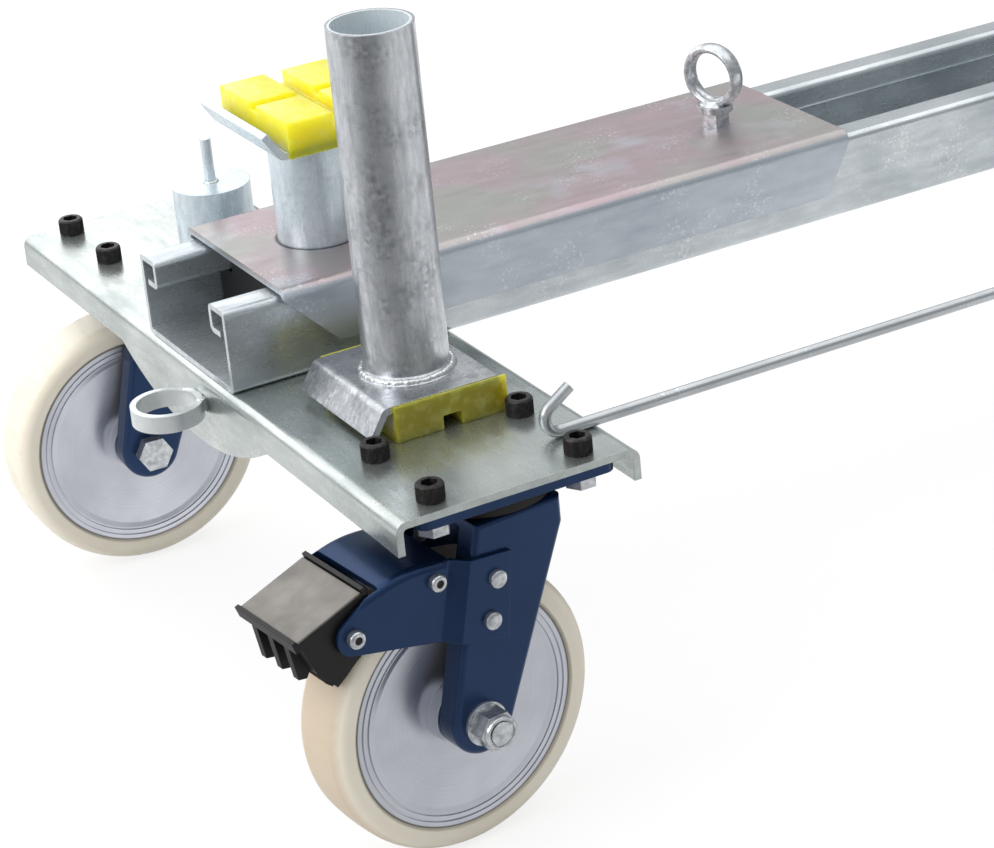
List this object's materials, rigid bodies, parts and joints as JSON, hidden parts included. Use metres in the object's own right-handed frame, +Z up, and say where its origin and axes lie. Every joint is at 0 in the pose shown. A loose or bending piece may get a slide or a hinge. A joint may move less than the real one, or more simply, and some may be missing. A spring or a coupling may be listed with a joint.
{
  "type": "machine skate",
  "caption": "Cross-beam machine moving skate: zinc-plated C-rail on two end plates with swivel castors, sliding sleeves with padded supports, brakes and a pull rod",
  "frame": {"origin": "on the floor under the middle of the rail", "axes": "+X along the rail, +Y across it, +Z up"},
  "size_m": [1.7376, 0.6538, 0.517],
  "materials": {
    "zinc_steel": "satin",
    "bright_zinc": "satin",
    "black_oxide_steel": "satin",
    "blue_enamel": "gloss",
    "grey_casting": "satin",
    "ivory_polyamide": "satin",
    "yellow_polyurethane": "matte",
    "black_plastic": "matte",
    "grey_plastic": "matte",
    "brake_rubber": "matte"
  },
  "bodies": {
    "frame": {"c_rail": "zinc_steel", "castor_screws": "black_oxide_steel", "castor_nuts": "bright_zinc", "swivel_balls": "bright_zinc", "end_plate_left": "zinc_steel", "tow_ring_left": "zinc_steel", "end_plate_right": "zinc_steel", "tow_ring_right": "zinc_steel", "castor_plate_left_braked": "blue_enamel", "castor_plate_left_plain": "blue_enamel", "castor_plate_right_braked": "blue_enamel", "castor_plate_right_plain": "blue_enamel"},
    "castor_left_braked": {"fork_left_braked": "blue_enamel", "axle_left_braked": "bright_zinc", "brake_housing_left": "blue_enamel", "brake_pins_left": "bright_zinc"},
    "wheel_left_braked": {"hub_left_braked": "grey_casting", "tyre_left_braked": "ivory_polyamide"},
    "castor_left_plain": {"fork_left_plain": "blue_enamel", "axle_left_plain": "bright_zinc"},
    "wheel_left_plain": {"hub_left_plain": "grey_casting", "tyre_left_plain": "ivory_polyamide"},
    "pedal_left": {"brake_pedal_left": "black_plastic", "pedal_tread_left": "grey_plastic", "brake_shoe_left": "brake_rubber"},
    "sleeve_left": {"sleeve_left": "zinc_steel", "glide_blocks_left": "black_plastic", "clamp_nut_left": "bright_zinc"},
    "eye_bolt_left": {"eye_bolt_left": "bright_zinc"},
    "clamp_bar_left": {"clamp_bar_left": "zinc_steel"},
    "short_support_left": {"short_support_left": "zinc_steel", "short_pad_left": "yellow_polyurethane"},
    "tall_support_left": {"tall_support_left": "zinc_steel", "tall_pad_left": "yellow_polyurethane"},
    "spacer_left": {"spacer_left": "zinc_steel"},
    "castor_right_braked": {"fork_right_braked": "blue_enamel", "axle_right_braked": "bright_zinc", "brake_housing_right": "blue_enamel", "brake_pins_right": "bright_zinc"},
    "wheel_right_braked": {"hub_right_braked": "grey_casting", "tyre_right_braked": "ivory_polyamide"},
    "castor_right_plain": {"fork_right_plain": "blue_enamel", "axle_right_plain": "bright_zinc"},
    "wheel_right_plain": {"hub_right_plain": "grey_casting", "tyre_right_plain": "ivory_polyamide"},
    "pedal_right": {"brake_pedal_right": "black_plastic", "pedal_tread_right": "grey_plastic", "brake_shoe_right": "brake_rubber"},
    "sleeve_right": {"sleeve_right": "zinc_steel", "glide_blocks_right": "black_plastic", "clamp_nut_right": "bright_zinc"},
    "eye_bolt_right": {"eye_bolt_right": "bright_zinc"},
    "clamp_bar_right": {"clamp_bar_right": "zinc_steel"},
    "short_support_right": {"short_support_right": "zinc_steel", "short_pad_right": "yellow_polyurethane"},
    "tall_support_right": {"tall_support_right": "zinc_steel", "tall_pad_right": "yellow_polyurethane"},
    "spacer_right": {"spacer_right": "zinc_steel"},
    "pull_rod": {"pull_rod": "zinc_steel"}
  },
  "joints": [
    {"name": "swivel_left_braked", "type": "hinge", "parent": "frame", "child": "castor_left_braked", "pos_m": [-0.7, -0.2575, 0.252], "axis": [0, 0, 1], "continuous": true},
    {"name": "roll_left_braked", "type": "hinge", "parent": "castor_left_braked", "child": "wheel_left_braked", "pos_m": [-0.74177, -0.26189, 0.099], "axis": [-0.1045, 0.9945, 0], "continuous": true},
    {"name": "swivel_left_plain", "type": "hinge", "parent": "frame", "child": "castor_left_plain", "pos_m": [-0.7, 0.2575, 0.252], "axis": [0, 0, 1], "continuous": true},
    {"name": "roll_left_plain", "type": "hinge", "parent": "castor_left_plain", "child": "wheel_left_plain", "pos_m": [-0.74197, 0.25897, 0.099], "axis": [0.0349, 0.9994, 0], "continuous": true},
    {"name": "brake_left", "type": "hinge", "parent": "castor_left_braked", "child": "pedal_left", "pos_m": [-0.82432, -0.27057, 0.18895], "axis": [0.1045, -0.9945, 0], "range_deg": [0, 10]},
    {"name": "slide_left", "type": "slide", "parent": "frame", "child": "sleeve_left", "axis": [1, 0, 0], "range_m": [-0.04, 0.28]},
    {"name": "clamp_screw_left", "type": "hinge", "parent": "sleeve_left", "child": "eye_bolt_left", "pos_m": [-0.352, 0, 0.324], "axis": [0, 0, 1], "range_deg": [-2160, 0]},
    {"name": "clamp_left", "type": "slide", "parent": "sleeve_left", "child": "clamp_bar_left", "axis": [0, 0, 1], "range_m": [0, 0.0105]},
    {"name": "lift_short_support_left", "type": "slide", "parent": "sleeve_left", "child": "short_support_left", "axis": [0, 0, 1], "range_m": [0, 0.04]},
    {"name": "lift_tall_support_left", "type": "slide", "parent": "frame", "child": "tall_support_left", "axis": [0, 0, 1], "range_m": [0, 0.05]},
    {"name": "lift_spacer_left", "type": "slide", "parent": "frame", "child": "spacer_left", "axis": [0, 0, 1], "range_m": [0, 0.05]},
    {"name": "swivel_right_braked", "type": "hinge", "parent": "frame", "child": "castor_right_braked", "pos_m": [0.7, 0.2575, 0.252], "axis": [0, 0, 1], "continuous": true},
    {"name": "roll_right_braked", "type": "hinge", "parent": "castor_right_braked", "child": "wheel_right_braked", "pos_m": [0.74177, 0.26189, 0.099], "axis": [0.1045, -0.9945, 0], "continuous": true},
    {"name": "swivel_right_plain", "type": "hinge", "parent": "frame", "child": "castor_right_plain", "pos_m": [0.7, -0.2575, 0.252], "axis": [0, 0, 1], "continuous": true},
    {"name": "roll_right_plain", "type": "hinge", "parent": "castor_right_plain", "child": "wheel_right_plain", "pos_m": [0.74197, -0.25897, 0.099], "axis": [-0.0349, -0.9994, 0], "continuous": true},
    {"name": "brake_right", "type": "hinge", "parent": "castor_right_braked", "child": "pedal_right", "pos_m": [0.82432, 0.27057, 0.18895], "axis": [-0.1045, 0.9945, 0], "range_deg": [0, 10]},
    {"name": "slide_right", "type": "slide", "parent": "frame", "child": "sleeve_right", "axis": [-1, 0, 0], "range_m": [-0.04, 0.28]},
    {"name": "clamp_screw_right", "type": "hinge", "parent": "sleeve_right", "child": "eye_bolt_right", "pos_m": [0.352, 0, 0.324], "axis": [0, 0, 1], "range_deg": [-2160, 0]},
    {"name": "clamp_right", "type": "slide", "parent": "sleeve_right", "child": "clamp_bar_right", "axis": [0, 0, 1], "range_m": [0, 0.0105]},
    {"name": "lift_short_support_right", "type": "slide", "parent": "sleeve_right", "child": "short_support_right", "axis": [0, 0, 1], "range_m": [0, 0.04]},
    {"name": "lift_tall_support_right", "type": "slide", "parent": "frame", "child": "tall_support_right", "axis": [0, 0, 1], "range_m": [0, 0.05]},
    {"name": "lift_spacer_right", "type": "slide", "parent": "frame", "child": "spacer_right", "axis": [0, 0, 1], "range_m": [0, 0.05]},
    {"name": "lift_pull_rod", "type": "slide", "parent": "frame", "child": "pull_rod", "axis": [0, 0, 1], "range_m": [0, 0.05]}
  ],
  "couplings": [
    {"joint": "clamp_screw_left", "follows": "clamp_left", "rad_per_m": -3590.4},
    {"joint": "clamp_screw_right", "follows": "clamp_right", "rad_per_m": -3590.4}
  ]
}
